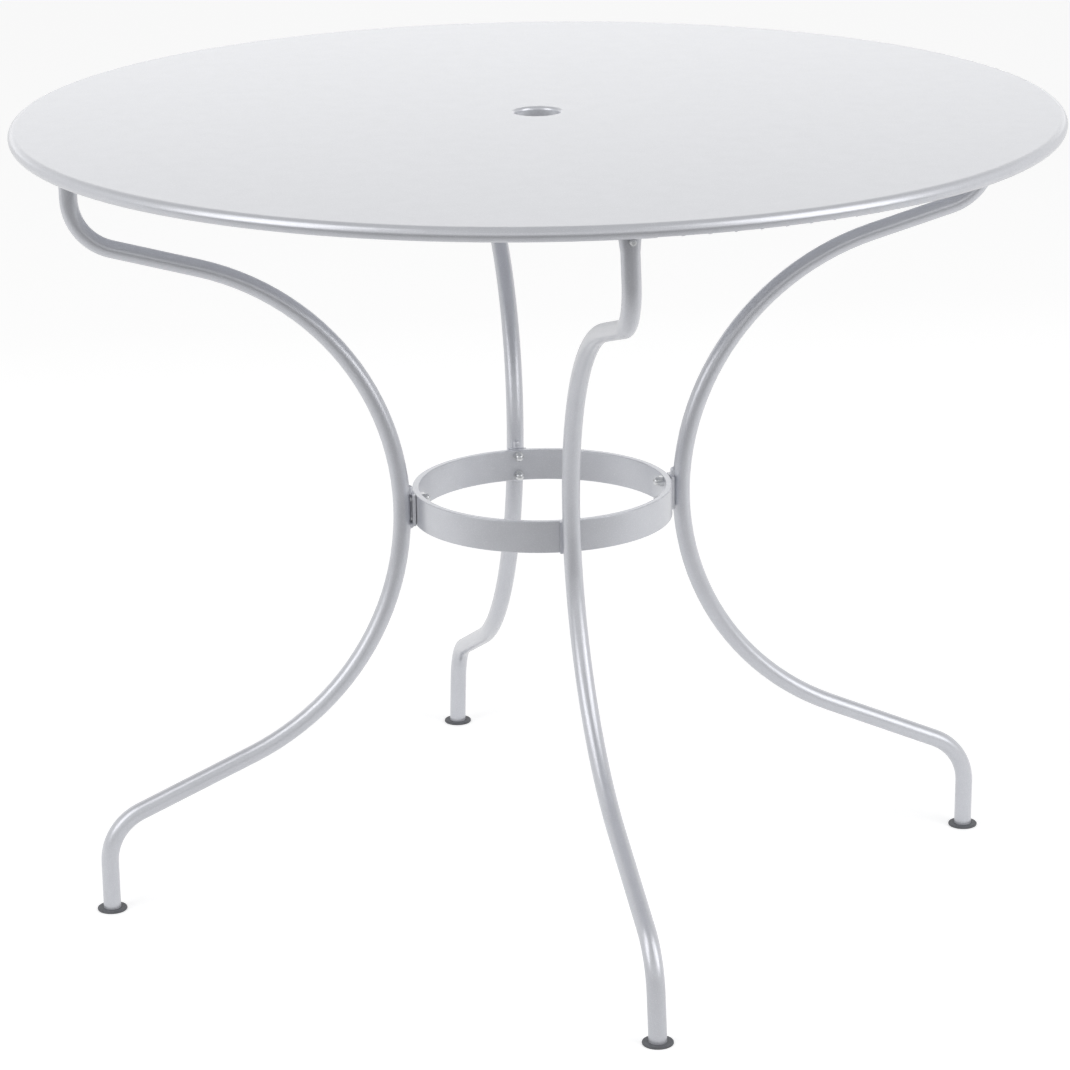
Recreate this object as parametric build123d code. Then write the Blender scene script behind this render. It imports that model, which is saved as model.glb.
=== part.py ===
"""Round steel garden table on four bent tube legs, with a hole for a parasol pole.

The table stands on the floor at Z = 0, with its axis on Z and a leg on each of +X, +Y, -X and -Y.
Every leg is made upright on +X, leant sideways about its joint with the ring, and turned round the
axis to its station, so all four lean the same way round.
"""
from build123d import *

import os
from math import cos, radians, sin, sqrt, tan

# Whole table
TABLE_HEIGHT = 740.0
TOP_DIAMETER = 960.0

# Top: one steel sheet, curled at its edge and plunged round the parasol hole
SHEET = 1.5
RIM_RADIUS = 6.4
RIM_CURL = 225.0
HOLE_DIAMETER = 42.0
HOLE_LIP = 3.0
COLLAR_DEPTH = 9.0

# Legs: steel tube, given by its axis
TUBE_DIAMETER = 16.5
TUBE_WALL = 1.5
LEG_FOOT_RADIUS = 422.0
LEG_HEAD_INSET = 51.0
LOWER_CORNER_HEIGHT = 81.0
UPPER_CORNER_DROP = 97.0
LOWER_SLOPE = 23.7
UPPER_SLOPE = 15.8
LOWER_BEND_RADIUS = 52.0
UPPER_BEND_RADIUS = 50.0
LEG_LEAN = 1.75
LEG_HEAD_DROP = 14.0
MOUTH_WIDTH = 20.5
MOUTH_THICKNESS = 16.5
MOUTH_TAPER = 18.0
HEAD_RUN = 25.0

# Ring: flat bar on edge round the waist of the legs
RING_DIAMETER = 244.0
RING_HEIGHT = 30.0
RING_THICKNESS = 6.0
RING_EDGE = 0.8

# Plates between the ring and the legs, with a short weld at each end
PLATE_WIDTH = 18.0
PLATE_HEIGHT = 30.0
PLATE_THICKNESS = 3.0
BEAD_RADIUS = 2.5
BEAD_LENGTH = 5.0

# Ring bolts: thread M5, tall cap head, a dome on a hexagon
RING_BOLT_DIAMETER = 5.0
RING_BOLT_PITCH = 19.0
RING_BOLT_REACH = 3.0
CAP_ACROSS = 9.0
CAP_HEX_HEIGHT = 3.6
CAP_DOME_DIAMETER = 8.2
CAP_DOME_HEIGHT = 5.4
CAP_DOME_FLAT = 0.8

# Bracket bolts: thread M5, hexagon head on a washer
BRACKET_BOLT_DIAMETER = 5.0
BRACKET_BOLT_DROP = 23.5
BRACKET_BOLT_STANDOUT = 6.0
HEX_ACROSS = 8.0
HEX_HEIGHT = 3.5
WASHER_DIAMETER = 10.0
WASHER_THICKNESS = 1.0
BOLT_TIP_CHAMFER = 0.7

# Brackets under the top: bent strip
BRACKET_WIDTH = 15.0
BRACKET_THICKNESS = 3.0
BRACKET_BEND = 3.0
BRACKET_FLANGE = 45.0

# Foot glides: plastic disc with a plug up the tube
GLIDE_DIAMETER = 28.0
GLIDE_THICKNESS = 2.4
GLIDE_EDGE = 1.0
PLUG_LENGTH = 16.0
PLUG_TAPER = 1.5

# Clearances
SEAT_GAP = 0.3
HOLE_GAP = 0.3
PLUG_GAP = 0.3

# Worked out
TOP_RADIUS = TOP_DIAMETER / 2
HOLE_RADIUS = HOLE_DIAMETER / 2
TUBE_RADIUS = TUBE_DIAMETER / 2
TUBE_BORE = TUBE_RADIUS - TUBE_WALL
RING_RADIUS = RING_DIAMETER / 2
RING_BORE = RING_RADIUS - RING_THICKNESS
LEG_HEAD_RADIUS = TOP_RADIUS - LEG_HEAD_INSET
RING_BOLT_RADIUS = RING_BOLT_DIAMETER / 2
RING_BOLT_HOLE = RING_BOLT_RADIUS + HOLE_GAP
CAP_CORNER_RADIUS = CAP_ACROSS / sqrt(3)
BRACKET_BOLT_RADIUS = BRACKET_BOLT_DIAMETER / 2
BRACKET_BOLT_HOLE = BRACKET_BOLT_RADIUS + HOLE_GAP
UNDERSIDE = TABLE_HEIGHT - SHEET
HEAD_CORNER_HEIGHT = TABLE_HEIGHT - UPPER_CORNER_DROP
LEG_TOP = TABLE_HEIGHT - LEG_HEAD_DROP
BRACKET_BOLT_HEIGHT = TABLE_HEIGHT - BRACKET_BOLT_DROP
PLATE_INNER = RING_RADIUS + SEAT_GAP
PLATE_OUTER = PLATE_INNER + PLATE_THICKNESS
WAIST_RADIUS = PLATE_OUTER + SEAT_GAP + TUBE_RADIUS

# The two sloping runs of a leg would meet at its apex, far inside; the C-shaped bend joins them,
# tangent to both, and comes nearest to the table's axis at its waist.
_LOWER = radians(LOWER_SLOPE)
_UPPER = radians(UPPER_SLOPE)
_RISE = HEAD_CORNER_HEIGHT - LOWER_CORNER_HEIGHT - (LEG_HEAD_RADIUS - LEG_FOOT_RADIUS) * tan(_UPPER)
_REACH = _RISE / (tan(_LOWER) + tan(_UPPER))
APEX_RADIUS = LEG_FOOT_RADIUS - _REACH
APEX_HEIGHT = LOWER_CORNER_HEIGHT + _REACH * tan(_LOWER)
_HALF = (_LOWER + _UPPER) / 2
_TILT = (_UPPER - _LOWER) / 2
_APEX_TO_CENTRE = (WAIST_RADIUS - APEX_RADIUS) / (cos(_TILT) - sin(_HALF))
WAIST_BEND_RADIUS = _APEX_TO_CENTRE * sin(_HALF)
WAIST_HEIGHT = APEX_HEIGHT + _APEX_TO_CENTRE * sin(_TILT)
UPPER_BEND_END = HEAD_CORNER_HEIGHT + UPPER_BEND_RADIUS * tan((radians(90) - _UPPER) / 2)
MOUTH_START = UPPER_BEND_END + HEAD_RUN
MOUTH_END = MOUTH_START + MOUTH_TAPER
LEG_INNER_FACE = LEG_HEAD_RADIUS - TUBE_RADIUS
MOUTH_AXIS = LEG_INNER_FACE + MOUTH_THICKNESS / 2
MOUTH_OUTER_FACE = LEG_INNER_FACE + MOUTH_THICKNESS
BRACKET_OUTER = LEG_INNER_FACE - SEAT_GAP
BRACKET_INNER = BRACKET_OUTER - BRACKET_THICKNESS
LEAN_PER_HEIGHT = tan(radians(LEG_LEAN))
HEAD_SHIFT = (WAIST_HEIGHT - BRACKET_BOLT_HEIGHT) * LEAN_PER_HEIGHT
FOOT_SHIFT = (WAIST_HEIGHT - GLIDE_THICKNESS) * LEAN_PER_HEIGHT
FOOT_TRIM = TUBE_DIAMETER * LEAN_PER_HEIGHT

STATIONS = {"right": 0, "back": 90, "left": 180, "front": 270}
RING_BOLT_HEIGHTS = (WAIST_HEIGHT - RING_BOLT_PITCH / 2, WAIST_HEIGHT + RING_BOLT_PITCH / 2)


def at_station(shape, name):
    """Turn a shape made on +X round the table's axis to the named station."""
    return Rot(0, 0, STATIONS[name]) * shape


def leaning(shape):
    """Lean a shape made upright on +X sideways about the leg's joint with the ring."""
    return Pos(0, 0, WAIST_HEIGHT) * Rot(LEG_LEAN, 0, 0) * Pos(0, 0, -WAIST_HEIGHT) * shape


def outward(radius, height, side=0.0):
    """Plane at a radius, height and sideways shift whose normal points along +X, outward."""
    return Plane(origin=(radius, side, height), x_dir=(0, 1, 0), z_dir=(1, 0, 0))


def radial_hole(start, end, height, radius, side=0.0):
    """Cutter for a round hole along +X between two radii."""
    return extrude(outward(start, height, side) * Circle(radius), end - start)


def table_top():
    """Sheet disc: collar round the hole, flat, and a half-round rim curled under."""
    lip_radius = HOLE_RADIUS + HOLE_LIP
    lip_height = TABLE_HEIGHT - HOLE_LIP
    collar_foot = TABLE_HEIGHT - COLLAR_DEPTH
    rim_axis = TOP_RADIUS - RIM_RADIUS
    rim_height = TABLE_HEIGHT - RIM_RADIUS
    rim_inner = RIM_RADIUS - SHEET
    with BuildSketch(Plane.XZ) as section:
        with BuildLine():
            top_lip = CenterArc((lip_radius, lip_height), HOLE_LIP, 90, 90)
            Line((lip_radius, TABLE_HEIGHT), (rim_axis, TABLE_HEIGHT))
            bead = CenterArc((rim_axis, rim_height), RIM_RADIUS, 90, -RIM_CURL)
            bead_inside = CenterArc((rim_axis, rim_height), rim_inner, 90, -RIM_CURL)
            Line(bead @ 1, bead_inside @ 1)
            Line((rim_axis, UNDERSIDE), (lip_radius, UNDERSIDE))
            under_lip = CenterArc((lip_radius, lip_height), HOLE_LIP - SHEET, 90, 90)
            Polyline(
                top_lip @ 1,
                (HOLE_RADIUS, collar_foot),
                (HOLE_RADIUS + SHEET, collar_foot),
                under_lip @ 1,
            )
        make_face()
    return revolve(section.sketch, Axis.Z)


def leg():
    """Bent tube with a widened mouth at its head, and holes for its bolts."""
    foot = (LEG_FOOT_RADIUS, 0, GLIDE_THICKNESS - FOOT_TRIM)
    axis = FilletPolyline(
        foot,
        (LEG_FOOT_RADIUS, 0, LOWER_CORNER_HEIGHT),
        (APEX_RADIUS, 0, APEX_HEIGHT),
        (LEG_HEAD_RADIUS, 0, HEAD_CORNER_HEIGHT),
        (LEG_HEAD_RADIUS, 0, MOUTH_START),
        radius=[LOWER_BEND_RADIUS, WAIST_BEND_RADIUS, UPPER_BEND_RADIUS],
    )
    tube = sweep(Plane(foot) * Circle(TUBE_RADIUS), path=axis)
    bore = sweep(Plane(foot) * Circle(TUBE_BORE), path=axis)
    tube += leg_mouth(0)
    bore += leg_mouth(TUBE_WALL)
    body = leaning(tube - bore)
    body = split(body, Plane((0, 0, GLIDE_THICKNESS)), keep=Keep.TOP)
    for height in RING_BOLT_HEIGHTS:
        body -= radial_hole(PLATE_OUTER, WAIST_RADIUS, height, RING_BOLT_HOLE)
    head_outer = LEG_HEAD_RADIUS + TUBE_RADIUS
    return body - radial_hole(BRACKET_OUTER, head_outer, BRACKET_BOLT_HEIGHT, BRACKET_BOLT_HOLE, HEAD_SHIFT)


def leg_mouth(inset):
    """Head of a leg: round tube that widens sideways, its inner side kept straight."""
    start = Plane((LEG_HEAD_RADIUS, 0, MOUTH_START)) * Circle(TUBE_RADIUS - inset)
    oval = Ellipse(MOUTH_THICKNESS / 2 - inset, MOUTH_WIDTH / 2 - inset)
    end = Plane((MOUTH_AXIS, 0, MOUTH_END)) * oval
    return loft([start, end]) + extrude(end, LEG_TOP - MOUTH_END)


def waist_clearance():
    """Cutter that keeps the weld beads clear of the leg's waist, along its bend."""
    section = Plane((WAIST_RADIUS, 0, WAIST_HEIGHT)) * Circle(TUBE_RADIUS + SEAT_GAP / 2)
    bend_axis = Axis((WAIST_RADIUS + WAIST_BEND_RADIUS, 0, WAIST_HEIGHT), (0, 1, 0))
    return leaning(revolve(section, bend_axis))


def weld_bead():
    """Short run of weld with rounded ends, lying crosswise."""
    run = Cylinder(BEAD_RADIUS, BEAD_LENGTH)
    return Rot(90, 0, 0) * fillet(run.edges().filter_by(GeomType.CIRCLE), BEAD_RADIUS / 2)


def ring_plate():
    """Flat plate on the ring's outside, welded to the leg at its upper and lower end."""
    plate = extrude(outward(PLATE_INNER, WAIST_HEIGHT) * Rectangle(PLATE_WIDTH, PLATE_HEIGHT), PLATE_THICKNESS)
    bead_height = PLATE_HEIGHT / 2 + BEAD_RADIUS / 3
    for end in (-1, 1):
        plate += Pos(PLATE_OUTER, 0, WAIST_HEIGHT + end * bead_height) * weld_bead()
    plate -= waist_clearance()
    for height in RING_BOLT_HEIGHTS:
        plate -= radial_hole(PLATE_INNER, PLATE_OUTER, height, RING_BOLT_HOLE)
    return plate


def ring():
    """Hoop of flat bar with rounded edges and two bolt holes at each leg."""
    bar = Pos(RING_RADIUS - RING_THICKNESS / 2, WAIST_HEIGHT) * Rectangle(RING_THICKNESS, RING_HEIGHT)
    hoop = revolve(Plane.XZ * fillet(bar.vertices(), RING_EDGE), Axis.Z)
    for name in STATIONS:
        for height in RING_BOLT_HEIGHTS:
            hole = radial_hole(RING_BORE - RING_EDGE, RING_RADIUS + RING_EDGE, height, RING_BOLT_HOLE)
            hoop -= at_station(hole, name)
    return hoop


def bolt_shank(radius, length):
    """Plain shank from the underside of a bolt's head, along +Z, with a chamfered tip."""
    shank = extrude(Circle(radius), length)
    return chamfer(shank.edges().group_by(Axis.Z)[-1], BOLT_TIP_CHAMFER)


def cap_bolt(length):
    """Bolt with a hexagon and a dome below Z = 0."""
    hexagon = extrude(RegularPolygon(CAP_ACROSS / 2, 6, major_radius=False), -CAP_HEX_HEIGHT)
    dome = extrude(Circle(CAP_DOME_DIAMETER / 2), -CAP_HEX_HEIGHT - CAP_DOME_HEIGHT)
    dome = fillet(dome.edges().group_by(Axis.Z)[0], (CAP_DOME_DIAMETER - CAP_DOME_FLAT) / 2)
    return hexagon + dome + bolt_shank(RING_BOLT_RADIUS, length)


def hex_bolt(length):
    """Bolt with a hexagon head below Z = 0."""
    head = extrude(RegularPolygon(HEX_ACROSS / 2, 6, major_radius=False), -HEX_HEIGHT)
    return head + bolt_shank(BRACKET_BOLT_RADIUS, length)


def ring_bolts():
    """Two cap bolts at each leg, from inside the ring through its plate into the leg's wall."""
    seat = sqrt(RING_BORE**2 - CAP_CORNER_RADIUS**2)
    tip = WAIST_RADIUS - TUBE_BORE + RING_BOLT_REACH
    bolt = cap_bolt(tip - seat)
    return [
        at_station(outward(seat, height) * bolt, name) for name in STATIONS for height in RING_BOLT_HEIGHTS
    ]


def bracket_bolts():
    """One bolt at each leg's head, through its bracket and the leg, with its tip standing out."""
    seat = BRACKET_INNER - WASHER_THICKNESS
    bolt = hex_bolt(MOUTH_OUTER_FACE + BRACKET_BOLT_STANDOUT - seat)
    return [at_station(outward(seat, BRACKET_BOLT_HEIGHT, HEAD_SHIFT) * bolt, name) for name in STATIONS]


def bracket_washers():
    """Washer between each bracket and the head of its bolt."""
    face = Circle(WASHER_DIAMETER / 2) - Circle(BRACKET_BOLT_HOLE)
    seat = outward(BRACKET_INNER - WASHER_THICKNESS, BRACKET_BOLT_HEIGHT, HEAD_SHIFT)
    washer = extrude(seat * face, WASHER_THICKNESS)
    return [at_station(washer, name) for name in STATIONS]


def top_bracket():
    """Bent strip: a flange under the sheet and a tab with a round end that carries the leg."""
    bend_outer = BRACKET_BEND + BRACKET_THICKNESS
    tab_end = BRACKET_BOLT_HEIGHT - BRACKET_WIDTH / 2
    flange_end = BRACKET_OUTER - BRACKET_FLANGE
    flange_under = UNDERSIDE - BRACKET_THICKNESS
    angle = Polyline(
        (BRACKET_OUTER, tab_end),
        (BRACKET_OUTER, UNDERSIDE),
        (flange_end, UNDERSIDE),
        (flange_end, flange_under),
        (BRACKET_INNER, flange_under),
        (BRACKET_INNER, tab_end),
        close=True,
    )
    profile = make_face(angle)
    corners = profile.vertices()
    outer_corner = corners.sort_by_distance((BRACKET_OUTER, UNDERSIDE))[0]
    profile = fillet(outer_corner, bend_outer)
    inner_corner = profile.vertices().sort_by_distance((BRACKET_INNER, flange_under))[0]
    profile = fillet(inner_corner, BRACKET_BEND)
    strip = extrude(Plane.XZ * profile, BRACKET_WIDTH / 2, both=True)
    tab_foot = strip.edges().filter_by(Axis.X).group_by(Axis.Z)[0]
    strip = fillet(tab_foot, BRACKET_WIDTH / 2 - SEAT_GAP)
    strip -= radial_hole(BRACKET_INNER, BRACKET_OUTER, BRACKET_BOLT_HEIGHT, BRACKET_BOLT_HOLE)
    return Pos(0, HEAD_SHIFT, 0) * strip


def foot_glide():
    """Thin disc under the foot of a leg, with a plug that fills the tube's end."""
    disc = extrude(Circle(GLIDE_DIAMETER / 2), GLIDE_THICKNESS)
    disc = fillet(disc.edges(), GLIDE_EDGE)
    root = Plane((LEG_FOOT_RADIUS, 0, GLIDE_THICKNESS / 2))
    plug = extrude(root * Circle(TUBE_BORE - PLUG_GAP), PLUG_LENGTH + GLIDE_THICKNESS / 2)
    plug = chamfer(plug.edges().group_by(Axis.Z)[-1], PLUG_TAPER)
    return Pos(LEG_FOOT_RADIUS, FOOT_SHIFT, 0) * disc + leaning(plug)


def main():
    """Make every piece and write it under its own name."""
    pieces = {
        "table_top": table_top(),
        "ring": ring(),
        "ring_bolts": Compound(ring_bolts()),
        "bracket_bolts": Compound(bracket_bolts()),
        "bracket_washers": Compound(bracket_washers()),
    }
    one_per_leg = {
        "leg": leg(),
        "ring_plate": ring_plate(),
        "top_bracket": top_bracket(),
        "foot_glide": foot_glide(),
    }
    for kind, shape in one_per_leg.items():
        for name in STATIONS:
            pieces[f"{kind}_{name}"] = at_station(shape, name)
    os.makedirs("parts", exist_ok=True)
    for node, shape in pieces.items():
        export_step(shape, f"parts/{node}.step")


main()
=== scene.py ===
"""Looks of the round garden table: powder coat, bright fasteners, dark glides, weld beads and the studio."""

import logging
import math
from dataclasses import dataclass, replace
from enum import Enum
from typing import ClassVar

import bmesh
import bpy
from mathutils import Matrix, Vector


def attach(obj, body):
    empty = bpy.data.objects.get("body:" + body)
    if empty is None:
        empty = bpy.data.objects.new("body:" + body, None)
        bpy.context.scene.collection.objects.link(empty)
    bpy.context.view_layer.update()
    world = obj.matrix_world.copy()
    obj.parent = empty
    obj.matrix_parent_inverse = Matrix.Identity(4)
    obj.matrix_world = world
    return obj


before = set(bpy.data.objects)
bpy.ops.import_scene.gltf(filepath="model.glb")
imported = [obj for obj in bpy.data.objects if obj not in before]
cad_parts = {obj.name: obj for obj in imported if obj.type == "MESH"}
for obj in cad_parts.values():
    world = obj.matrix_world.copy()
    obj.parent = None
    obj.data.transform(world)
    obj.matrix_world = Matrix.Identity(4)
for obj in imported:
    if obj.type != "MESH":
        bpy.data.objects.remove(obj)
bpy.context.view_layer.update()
BODY = "root"

WHITE = (1.0, 1.0, 1.0, 1.0)

Colour = tuple[float, float, float]
Point = tuple[float, float, float]
Range = tuple[float, float]

log = logging.getLogger("garden_table")


class Slot(Enum):
    """Material slots of the record."""

    COAT = "powder_coat"
    ZINC = "bright_zinc"
    GLIDE = "glide_plastic"


class Station(Enum):
    """Where a leg joins the ring: its name, and its angle round the table in degrees."""

    RIGHT = 0
    BACK = 90
    LEFT = 180
    FRONT = 270

    @property
    def label(self) -> str:
        """Name of the station as the CAD nodes end with it."""
        return self.name.lower()

    @property
    def turn(self) -> Matrix:
        """Turn from +X to the station."""
        return Matrix.Rotation(math.radians(self.value), 4, "Z")


class Graph:
    """A node tree with short calls for adding and joining nodes."""

    def __init__(self, tree: bpy.types.NodeTree) -> None:
        """Keep the tree that the calls work on.

        Args:
            tree: Node tree of a material, a world or a group.
        """
        self.tree = tree

    def add(self, kind: str, settings: dict | None = None, **inputs: object) -> bpy.types.Node:
        """Add a node.

        Args:
            kind: Node type name.
            settings: Attributes of the node.
            inputs: Values or sockets for its inputs, by name with underscores for spaces.

        Returns:
            The new node.
        """
        node = self.tree.nodes.new(kind)
        for key, value in (settings or {}).items():
            setattr(node, key, value)
        for key, value in inputs.items():
            self.feed(node.inputs[key.replace("_", " ")], value)
        return node

    def feed(self, socket: bpy.types.NodeSocket, value: object) -> None:
        """Give an input a value, or join an output to it.

        Args:
            socket: The input.
            value: A constant, or an output socket.
        """
        if isinstance(value, bpy.types.NodeSocket):
            self.tree.links.new(value, socket)
        else:
            socket.default_value = value

    def math(self, operation: str, first: object, second: object) -> bpy.types.NodeSocket:
        """Add a two-input maths node.

        Args:
            operation: Name of the operation.
            first: First value or socket.
            second: Second value or socket.

        Returns:
            The node's output.
        """
        node = self.add("ShaderNodeMath", {"operation": operation})
        self.feed(node.inputs[0], first)
        self.feed(node.inputs[1], second)
        return node.outputs[0]

    def blend(self, factor: object, first: object, second: object) -> bpy.types.NodeSocket:
        """Mix two colours.

        Args:
            factor: Share of the second colour.
            first: First colour or socket.
            second: Second colour or socket.

        Returns:
            The mixed colour.
        """
        node = self.add("ShaderNodeMix", {"data_type": "RGBA"})
        self.feed(node.inputs["Factor"], factor)
        self.feed(node.inputs[6], first)
        self.feed(node.inputs[7], second)
        return node.outputs[2]

    def spread(self, value: object, come: Range, leave: Range = (0.0, 1.0)) -> bpy.types.NodeSocket:
        """Map a range of values to another, keeping inside it.

        Args:
            value: Value or socket.
            come: Both ends of the range that comes in.
            leave: Both ends of the range that goes out.

        Returns:
            The mapped value.
        """
        node = self.add("ShaderNodeMapRange")
        for index, entry in enumerate((value, *come, *leave)):
            self.feed(node.inputs[index], entry)
        return node.outputs[0]

    def along(self, place: bpy.types.NodeSocket, way: Vector) -> bpy.types.NodeSocket:
        """Measure a place or direction along a fixed direction.

        Args:
            place: Socket with the place or direction.
            way: The fixed direction.

        Returns:
            The measure.
        """
        node = self.add("ShaderNodeVectorMath", {"operation": "DOT_PRODUCT"})
        self.feed(node.inputs[0], place)
        self.feed(node.inputs[1], way)
        return node.outputs["Value"]


class CoatGrain:
    """Shared effect: the grain of a sprayed or moulded skin, as a mask, a mottle and a height."""

    NAME = "skin_grain"
    PEEL_DETAIL = 2.0
    PEEL_ROUGHNESS = 0.55
    CLOUD_DETAIL = 3.0
    CLOUD_ROUGHNESS = 0.5
    CLOUD_RANGE = (0.3, 0.7)

    @classmethod
    def group(cls) -> bpy.types.NodeTree:
        """The node group, made on first use.

        Returns:
            Group with inputs Grain Size and Mottle Size in metres, and outputs Grain, Mottle and Height.
        """
        made = bpy.data.node_groups.get(cls.NAME)
        if made:
            return made
        tree = bpy.data.node_groups.new(cls.NAME, "ShaderNodeTree")
        for name in ("Grain Size", "Mottle Size"):
            tree.interface.new_socket(name=name, in_out="INPUT", socket_type="NodeSocketFloat")
        for name in ("Grain", "Mottle", "Height"):
            tree.interface.new_socket(name=name, in_out="OUTPUT", socket_type="NodeSocketFloat")
        graph = Graph(tree)
        entry = graph.add("NodeGroupInput")
        leave = graph.add("NodeGroupOutput")
        place = graph.add("ShaderNodeTexCoord").outputs["Object"]
        fine = graph.math("DIVIDE", 1.0, entry.outputs["Grain Size"])
        broad = graph.math("DIVIDE", 1.0, entry.outputs["Mottle Size"])
        flakes = graph.add("ShaderNodeTexVoronoi", {"feature": "F1"}, Vector=place, Scale=fine)
        peel = graph.add("ShaderNodeTexNoise", Vector=place, Scale=fine)
        peel.inputs["Detail"].default_value = cls.PEEL_DETAIL
        peel.inputs["Roughness"].default_value = cls.PEEL_ROUGHNESS
        clouds = graph.add("ShaderNodeTexNoise", Vector=place, Scale=broad)
        clouds.inputs["Detail"].default_value = cls.CLOUD_DETAIL
        clouds.inputs["Roughness"].default_value = cls.CLOUD_ROUGHNESS
        shade = graph.add("ShaderNodeSeparateColor", Color=flakes.outputs["Color"])
        graph.feed(leave.inputs["Grain"], shade.outputs[0])
        graph.feed(leave.inputs["Mottle"], graph.spread(clouds.outputs[0], cls.CLOUD_RANGE))
        graph.feed(leave.inputs["Height"], peel.outputs[0])
        return tree


@dataclass(frozen=True)
class Finish:
    """A surface finish with a grained skin.

    Low and high are the ends of the mottle, and flake_share is the part of the grain that shows bright
    flakes. The height of the skin spreads the roughness between its low and its high. Sizes are in metres.
    """

    PEEL_RANGE: ClassVar[Range] = (0.25, 0.75)

    name: str
    low_colour: Colour
    high_colour: Colour
    flake_colour: Colour
    flake_share: float
    metallic: float
    rough_low: float
    rough_high: float
    grain_size: float
    mottle_size: float
    bump: float
    bump_depth: float
    coat: float = 0.0
    coat_rough: float = 0.25

    def material(self) -> bpy.types.Material:
        """The finish as a material, made on first use.

        Returns:
            The material.
        """
        made = bpy.data.materials.get(self.name)
        if made:
            return made
        material = bpy.data.materials.new(self.name)
        material.use_nodes = True
        graph = Graph(material.node_tree)
        shader = material.node_tree.nodes["Principled BSDF"]
        skin = graph.add("ShaderNodeGroup", {"node_tree": CoatGrain.group()})
        skin.inputs["Grain Size"].default_value = self.grain_size
        skin.inputs["Mottle Size"].default_value = self.mottle_size
        ground = graph.blend(skin.outputs["Mottle"], (*self.low_colour, 1.0), (*self.high_colour, 1.0))
        flake = graph.spread(skin.outputs["Grain"], (1.0 - self.flake_share, 1.0))
        colour = graph.blend(flake, ground, (*self.flake_colour, 1.0))
        graph.feed(shader.inputs["Base Color"], colour)
        rough = graph.spread(skin.outputs["Height"], self.PEEL_RANGE, (self.rough_low, self.rough_high))
        graph.feed(shader.inputs["Roughness"], rough)
        shader.inputs["Metallic"].default_value = self.metallic
        shader.inputs["Coat Weight"].default_value = self.coat
        shader.inputs["Coat Roughness"].default_value = self.coat_rough
        bump = graph.add("ShaderNodeBump", Strength=self.bump, Distance=self.bump_depth)
        graph.feed(bump.inputs["Height"], skin.outputs["Height"])
        graph.feed(shader.inputs["Normal"], bump.outputs[0])
        return material

    def dress(self, piece: bpy.types.Object) -> None:
        """Put the finish on every slot of a piece."""
        material = self.material()
        if not piece.material_slots:
            piece.data.materials.append(material)
        for place in piece.material_slots:
            place.material = material


POWDER_COAT = Finish(
    name="powder_coat_silver",
    low_colour=(0.636, 0.648, 0.689),
    high_colour=(0.661, 0.673, 0.715),
    flake_colour=(0.723, 0.735, 0.775),
    flake_share=0.3,
    metallic=0.55,
    rough_low=0.28,
    rough_high=0.38,
    grain_size=0.0005,
    mottle_size=0.02,
    bump=0.08,
    bump_depth=0.0002,
    coat=0.7,
)
BRIGHT_ZINC = Finish(
    name="zinc_bright",
    low_colour=(0.64, 0.65, 0.66),
    high_colour=(0.72, 0.73, 0.74),
    flake_colour=(0.80, 0.81, 0.82),
    flake_share=0.2,
    metallic=1.0,
    rough_low=0.24,
    rough_high=0.34,
    grain_size=0.0004,
    mottle_size=0.003,
    bump=0.05,
    bump_depth=0.0001,
)
# Thread finish: bright zinc made paler and less metallic so the bolt tips look bright; that extra brightness
# is a painted highlight, not the zinc's own colour.
THREAD_PAINTED_GLINT = replace(
    BRIGHT_ZINC,
    name="zinc_thread_painted_glint",
    low_colour=(0.89, 0.90, 0.91),
    high_colour=(0.93, 0.94, 0.95),
    flake_colour=(0.96, 0.96, 0.97),
    metallic=0.4,
)
GLIDE_PLASTIC = Finish(
    name="glide_charcoal",
    low_colour=(0.105, 0.109, 0.120),
    high_colour=(0.125, 0.129, 0.141),
    flake_colour=(0.16, 0.165, 0.18),
    flake_share=0.15,
    metallic=0.0,
    rough_low=0.42,
    rough_high=0.6,
    grain_size=0.0008,
    mottle_size=0.006,
    bump=0.2,
    bump_depth=0.0002,
)


@dataclass
class CarriedNodes:
    """CAD nodes that keep their shape and take a finish."""

    finish: Finish
    names: tuple[str, ...]

    def dress(self) -> None:
        """Put the finish on each node."""
        for name in self.names:
            self.finish.dress(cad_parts[name])
            log.info("dressed %s in %s", name, self.finish.name)


def stack_rings(shape: bmesh.types.BMesh, place: Matrix, rings: list[Range], sides: int) -> None:
    """Model a closed round body as a stack of rings.

    Args:
        shape: Mesh that takes the body.
        place: Start of the body's axis; the rings stand along its Z.
        rings: Height along the axis and radius of each ring, from the start on.
        sides: Corners of a ring.
    """
    height, radius = rings[0]
    start = place @ Matrix.Translation((0.0, 0.0, height))
    verts = bmesh.ops.create_circle(shape, segments=sides, radius=radius, matrix=start)["verts"]
    foot = loop = list({edge for vert in verts for edge in vert.link_edges})
    for next_height, next_radius in rings[1:]:
        grown = bmesh.ops.extrude_edge_only(shape, edges=loop)["geom"]
        verts = [item for item in grown if isinstance(item, bmesh.types.BMVert)]
        edges = [item for item in grown if isinstance(item, bmesh.types.BMEdge)]
        loop = [edge for edge in edges if set(edge.verts) <= set(verts)]
        middle = place @ Vector((0.0, 0.0, height))
        share = next_radius / radius
        bmesh.ops.scale(shape, vec=(share, share, share), space=Matrix.Translation(-middle), verts=verts)
        bmesh.ops.translate(shape, vec=place.to_3x3() @ Vector((0.0, 0.0, next_height - height)), verts=verts)
        height, radius = next_height, next_radius
    bmesh.ops.edgeloop_fill(shape, edges=foot)
    bmesh.ops.edgeloop_fill(shape, edges=loop)


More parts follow.
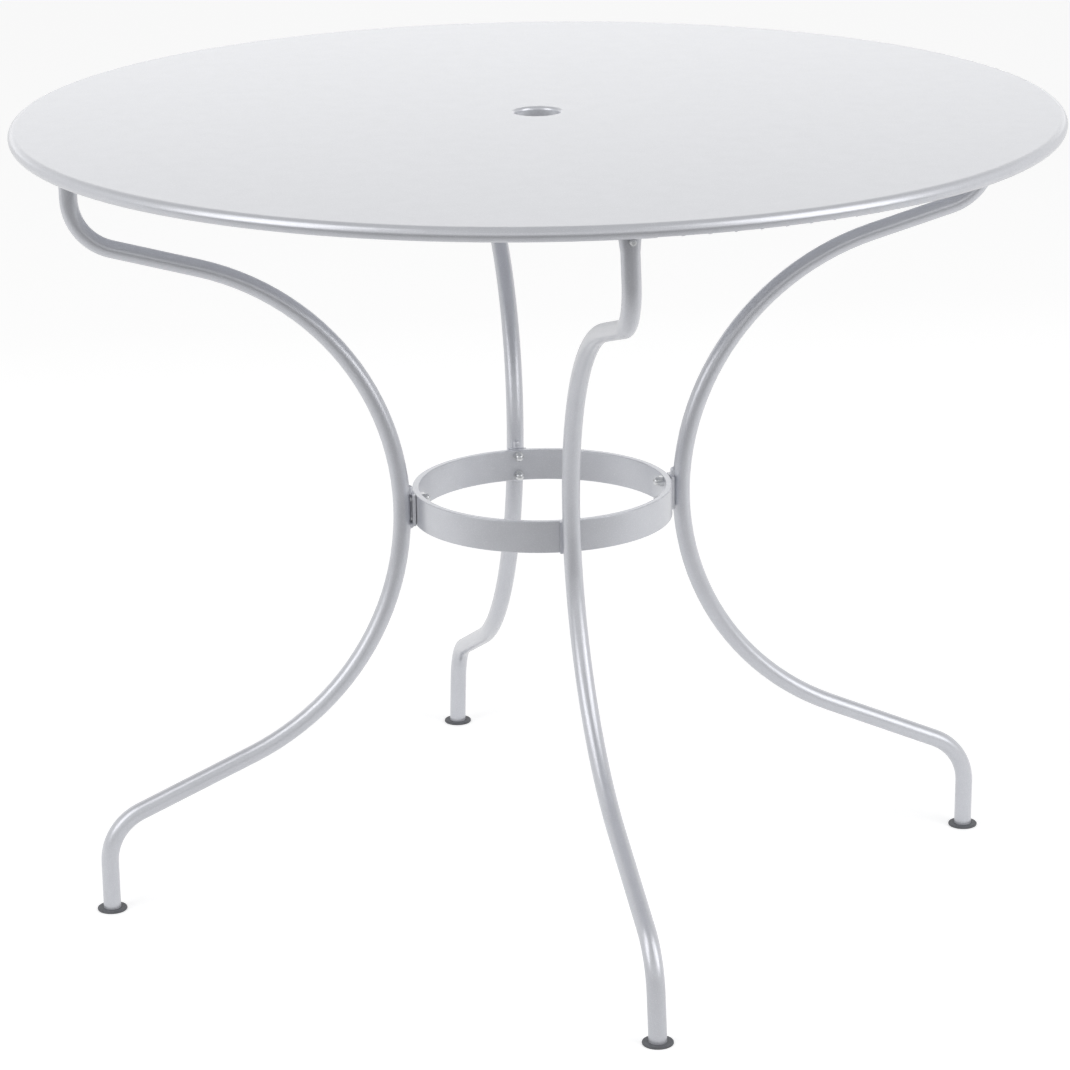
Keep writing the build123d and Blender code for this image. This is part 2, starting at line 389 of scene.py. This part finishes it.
def finished_piece(name: str, shape: bmesh.types.BMesh, finish: Finish) -> bpy.types.Object:
    """Turn a modelled mesh into a smooth, dressed piece of the table.

    Args:
        name: Name of the piece.
        shape: The mesh, in the table's frame. It is freed.
        finish: Finish that it wears.

    Returns:
        The piece's object.
    """
    bmesh.ops.recalc_face_normals(shape, faces=shape.faces[:])
    mesh = bpy.data.meshes.new(name)
    shape.to_mesh(mesh)
    shape.free()
    mesh.shade_smooth()
    piece = bpy.data.objects.new(name, mesh)
    bpy.context.scene.collection.objects.link(piece)
    finish.dress(piece)
    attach(piece, BODY)
    log.info("made %s, %d faces", name, len(mesh.polygons))
    return piece


@dataclass(frozen=True)
class WeldRun:
    """A straight run of weld: a rippled bead with rounded ends. Lengths are in metres."""

    start: Point
    end: Point
    throat: float
    ripples: int
    ripple_depth: float = 0.13
    bluntness: int = 4
    end_share: float = 0.1
    steps: int = 4
    sides: int = 16

    def girth(self, along: float) -> float:
        """Radius of the bead at a share of its length."""
        taper = math.sqrt(1.0 - abs(2.0 * along - 1.0) ** self.bluntness)
        wave = abs(math.sin(math.pi * self.ripples * along))
        return self.throat * taper * (1.0 - self.ripple_depth * (1.0 - wave))

    def add_to(self, shape: bmesh.types.BMesh, turn: Matrix) -> None:
        """Model the run.

        Args:
            shape: Mesh that takes the run.
            turn: Turn from +X to the run's station.
        """
        line = Vector(self.end) - Vector(self.start)
        place = turn @ Matrix.Translation(self.start) @ line.to_track_quat("Z", "Y").to_matrix().to_4x4()
        count = self.ripples * self.steps
        shares = [(index + self.end_share) / (count + 2.0 * self.end_share) for index in range(count + 1)]
        rings = [(share * line.length, self.girth(share)) for share in shares]
        stack_rings(shape, place, rings, self.sides)


@dataclass
class PlateWelds:
    """Weld between each ring plate and its leg: a blob at each end of the plate and the seam between them.

    Lengths are in metres.
    """

    run_radius: float = 0.1260
    waist_height: float = 0.3706
    plate_height: float = 0.030
    overlap: float = 0.002
    upper_reach: float = 0.0078
    lower_reach: float = 0.0045
    outward: float = 0.0007
    throat: float = 0.0031
    ripples: int = 2
    seam_radius: float = 0.1256
    seam_throat: float = 0.0013

    def build(self) -> None:
        """Make the welds of every leg."""
        for station in Station:
            shape = bmesh.new()
            for side, reach in ((1.0, self.upper_reach), (-1.0, self.lower_reach)):
                near = self.waist_height + side * (self.plate_height / 2 - self.overlap)
                far = self.waist_height + side * (self.plate_height / 2 + reach)
                start, end = (self.run_radius, 0.0, near), (self.run_radius + self.outward, 0.0, far)
                WeldRun(start, end, self.throat, self.ripples).add_to(shape, station.turn)
            low, high = (self.waist_height + side * self.plate_height / 2 for side in (-1.0, 1.0))
            foot, head = (self.seam_radius, 0.0, low), (self.seam_radius, 0.0, high)
            WeldRun(foot, head, self.seam_throat, 1).add_to(shape, station.turn)
            finished_piece(f"plate_weld_{station.label}", shape, POWDER_COAT)


@dataclass
class BracketWelds:
    """Weld along both sides of each bracket's flange, under the top. Lengths are in metres."""

    inner_radius: float = 0.381
    outer_radius: float = 0.403
    side_shift: float = -0.01057
    half_width: float = 0.0077
    underside: float = 0.7385
    throat: float = 0.0019
    ripples: int = 9

    def build(self) -> None:
        """Make the welds of every bracket."""
        for station in Station:
            shape = bmesh.new()
            for side in (-1.0, 1.0):
                across = self.side_shift + side * self.half_width
                height = self.underside - self.throat / 2
                inner, outer = (self.inner_radius, across, height), (self.outer_radius, across, height)
                WeldRun(inner, outer, self.throat, self.ripples).add_to(shape, station.turn)
            finished_piece(f"bracket_weld_{station.label}", shape, POWDER_COAT)


@dataclass
class BoltThreads:
    """Thread on the tip of each bracket bolt, where it stands out of the leg. Lengths are in metres."""

    start_radius: float = 0.4376
    side_shift: float = -0.01057
    height: float = 0.7165
    crest: float = 0.00264
    root: float = 0.00236
    pitch: float = 0.0008
    crest_share: Range = (0.4, 0.6)
    turns: int = 6
    sides: int = 28

    def build(self) -> None:
        """Make the thread of every bracket bolt."""
        outward = Matrix.Rotation(math.radians(90.0), 4, "Y")
        rings = [(0.0, self.root)]
        for index in range(self.turns):
            for share in self.crest_share:
                rings.append(((index + share) * self.pitch, self.crest))
            rings.append(((index + 1) * self.pitch, self.root))
        shape = bmesh.new()
        for station in Station:
            foot = Matrix.Translation((self.start_radius, self.side_shift, self.height))
            stack_rings(shape, station.turn @ foot @ outward, rings, self.sides)
        # The threads wear the finish whose pale colour is a painted highlight on the bolt tips.
        finished_piece("bracket_bolt_threads", shape, THREAD_PAINTED_GLINT)


@dataclass(frozen=True)
class SoftBox:
    """A soft rectangular lamp. Lengths are in metres, power in watts.

    Its angle round the table starts at the camera's side and is positive to the camera's right, in degrees.
    """

    name: str
    round_angle: float
    height: float
    reach: float
    size: tuple[float, float]
    power: float
    aim_height: float

    def hang(self, camera_side: float) -> None:
        """Hang the lamp, facing the table's axis.

        Args:
            camera_side: Angle of the camera's side round the table, in degrees.
        """
        data = bpy.data.lights.new(self.name, "AREA")
        data.shape = "RECTANGLE"
        data.size, data.size_y = self.size
        data.energy = self.power
        lamp = bpy.data.objects.new(self.name, data)
        bpy.context.scene.collection.objects.link(lamp)
        angle = math.radians(camera_side + self.round_angle)
        place = Vector((self.reach * math.cos(angle), self.reach * math.sin(angle), self.height))
        lamp.location = place
        lamp.rotation_mode = "QUATERNION"
        lamp.rotation_quaternion = (Vector((0.0, 0.0, self.aim_height)) - place).to_track_quat("-Z", "Y")


@dataclass
class Studio:
    """Floor, world, lamps and the camera at the photograph's angle. Lengths are in metres, angles in degrees.

    The floor and the surroundings are white to the camera and have other levels for reflections and light:
    the floor is darker towards the camera, the backdrop behind the table is brighter than the room, and the
    ceiling is darker. An edge gives where one level passes into the next.
    """

    BOXES: ClassVar[tuple[SoftBox, ...]] = (
        SoftBox("side_left", -57.0, 1.9, 2.4, (1.6, 2.4), 19.0, 0.5),
        SoftBox("side_right", 60.0, 1.8, 2.4, (1.7, 2.4), 21.0, 0.5),
        SoftBox("behind", 188.0, 1.05, 2.0, (3.6, 0.36), 2.5, 0.7),
    )

    camera_distance: float = 3.5214
    camera_height: float = 1.4321
    camera_round: float = -11.292
    camera_yaw: float = -0.1232
    camera_pitch: float = 17.3015
    camera_roll: float = -0.8073
    focal_pixels: float = 3912.6
    frame_pixels: float = 1070.0
    sensor: float = 36.0
    clip: Range = (0.05, 100.0)
    floor_size: float = 30.0
    floor_colour: float = 0.65
    floor_shade: float = 0.29
    floor_glow: float = 0.55
    floor_mirror: float = 0.45
    floor_front: Range = (0.0, 1.7)
    backdrop_level: float = 0.82
    backdrop_edge: Range = (-0.1, 0.5)
    ceiling_level: float = 0.49
    ceiling_edge: Range = (0.4, 0.7)
    room_level: float = 0.77

    def away(self) -> Vector:
        """Level direction from the camera to the table."""
        return Matrix.Rotation(math.radians(self.camera_round), 3, "Z") @ Vector((0.0, 1.0, 0.0))

    def camera(self) -> None:
        """Make the camera and give it to the scene."""
        data = bpy.data.cameras.new("camera")
        data.sensor_width = self.sensor
        data.lens = self.focal_pixels / self.frame_pixels * self.sensor
        data.clip_start, data.clip_end = self.clip
        camera = bpy.data.objects.new("camera", data)
        bpy.context.scene.collection.objects.link(camera)
        yaw, pitch, roll = (math.radians(v) for v in (self.camera_yaw, self.camera_pitch, self.camera_roll))
        turn = Matrix.Rotation(math.radians(self.camera_round), 3, "Z")
        level = Vector((math.sin(yaw), math.cos(yaw), 0.0))
        ahead = turn @ (level * math.cos(pitch) - Vector((0.0, 0.0, math.sin(pitch))))
        right = turn @ Vector((math.cos(yaw), -math.sin(yaw), 0.0))
        above = right.cross(ahead)
        across = math.cos(roll) * right + math.sin(roll) * above
        upward = math.cos(roll) * above - math.sin(roll) * right
        axes = Matrix((across, upward, -ahead)).transposed()
        place = turn @ Vector((0.0, -self.camera_distance, self.camera_height))
        camera.matrix_world = Matrix.Translation(place) @ axes.to_4x4()
        bpy.context.scene.camera = camera

    def floor(self) -> None:
        """Lay the pale floor, white to the camera where nothing shades it."""
        mesh = bpy.data.meshes.new("floor")
        shape = bmesh.new()
        bmesh.ops.create_grid(shape, x_segments=1, y_segments=1, size=self.floor_size / 2)
        shape.to_mesh(mesh)
        shape.free()
        floor = bpy.data.objects.new("floor", mesh)
        bpy.context.scene.collection.objects.link(floor)
        material = bpy.data.materials.new("floor_white")
        material.use_nodes = True
        graph = Graph(material.node_tree)
        material.node_tree.nodes.remove(material.node_tree.nodes["Principled BSDF"])
        out = material.node_tree.nodes["Material Output"]
        place = graph.add("ShaderNodeTexCoord").outputs["Object"]
        near = graph.spread(graph.along(place, -self.away()), self.floor_front, (1.0, 0.0))
        path = graph.add("ShaderNodeLightPath")
        pale = graph.math("MAXIMUM", path.outputs["Is Camera Ray"], near)
        paper = graph.add("ShaderNodeBsdfDiffuse")
        shade, full = ((*(level,) * 3, 1.0) for level in (self.floor_shade, self.floor_colour))
        graph.feed(paper.inputs["Color"], graph.blend(pale, shade, full))
        sheen = graph.math("MULTIPLY", near, self.floor_mirror)
        mirrored = graph.math("MULTIPLY", path.outputs["Is Glossy Ray"], sheen)
        shown = graph.math("MULTIPLY", path.outputs["Is Camera Ray"], self.floor_glow)
        glow = graph.add("ShaderNodeEmission", Color=WHITE)
        graph.feed(glow.inputs["Strength"], graph.math("ADD", mirrored, shown))
        both = graph.add("ShaderNodeAddShader")
        graph.feed(both.inputs[0], paper.outputs[0])
        graph.feed(both.inputs[1], glow.outputs[0])
        graph.feed(out.inputs["Surface"], both.outputs[0])
        mesh.materials.append(material)

    def world(self) -> None:
        """Set up the surroundings: white to the camera, and room, backdrop and ceiling for all else."""
        world = bpy.data.worlds.new("studio")
        bpy.context.scene.world = world
        world.use_nodes = True
        graph = Graph(world.node_tree)
        back = world.node_tree.nodes["Background"]
        way = graph.add("ShaderNodeTexCoord").outputs["Generated"]
        height = graph.add("ShaderNodeSeparateXYZ", Vector=way).outputs["Z"]
        behind = graph.along(way, self.away())
        wall = graph.spread(behind, self.backdrop_edge, (self.room_level, self.backdrop_level))
        ceiling = graph.add("ShaderNodeMix", {"data_type": "FLOAT"})
        graph.feed(ceiling.inputs[0], graph.spread(height, self.ceiling_edge))
        graph.feed(ceiling.inputs[2], wall)
        graph.feed(ceiling.inputs[3], self.ceiling_level)
        path = graph.add("ShaderNodeLightPath")
        seen = graph.math("MAXIMUM", path.outputs["Is Camera Ray"], path.outputs["Is Transmission Ray"])
        graph.feed(back.inputs["Strength"], graph.math("MAXIMUM", seen, ceiling.outputs[0]))
        back.inputs["Color"].default_value = WHITE

    def lamps(self) -> None:
        """Hang the lamps round the table."""
        camera_side = self.camera_round - 90.0
        for box in self.BOXES:
            box.hang(camera_side)

    def build(self) -> None:
        """Set up the whole studio."""
        bpy.context.scene.view_settings.view_transform = "Standard"
        self.camera()
        self.floor()
        self.world()
        self.lamps()
        log.info("studio is ready")


def stations(kind: str) -> tuple[str, ...]:
    """Names of a node that each leg has one of."""
    return tuple(f"{kind}_{station.label}" for station in Station)


def main() -> None:
    """Dress the table and set up the studio."""
    logging.basicConfig(level=logging.INFO, format="%(name)s: %(message)s")
    coated = ("table_top", "ring", *stations("leg"), *stations("ring_plate"), *stations("top_bracket"))
    CarriedNodes(POWDER_COAT, coated).dress()
    CarriedNodes(BRIGHT_ZINC, ("ring_bolts", "bracket_washers")).dress()
    # The bracket bolts wear the finish whose pale colour is a painted highlight on their tips.
    CarriedNodes(THREAD_PAINTED_GLINT, ("bracket_bolts",)).dress()
    CarriedNodes(GLIDE_PLASTIC, stations("foot_glide")).dress()
    PlateWelds().build()
    BracketWelds().build()
    BoltThreads().build()
    Studio().build()


if __name__ == "__main__":
    main()
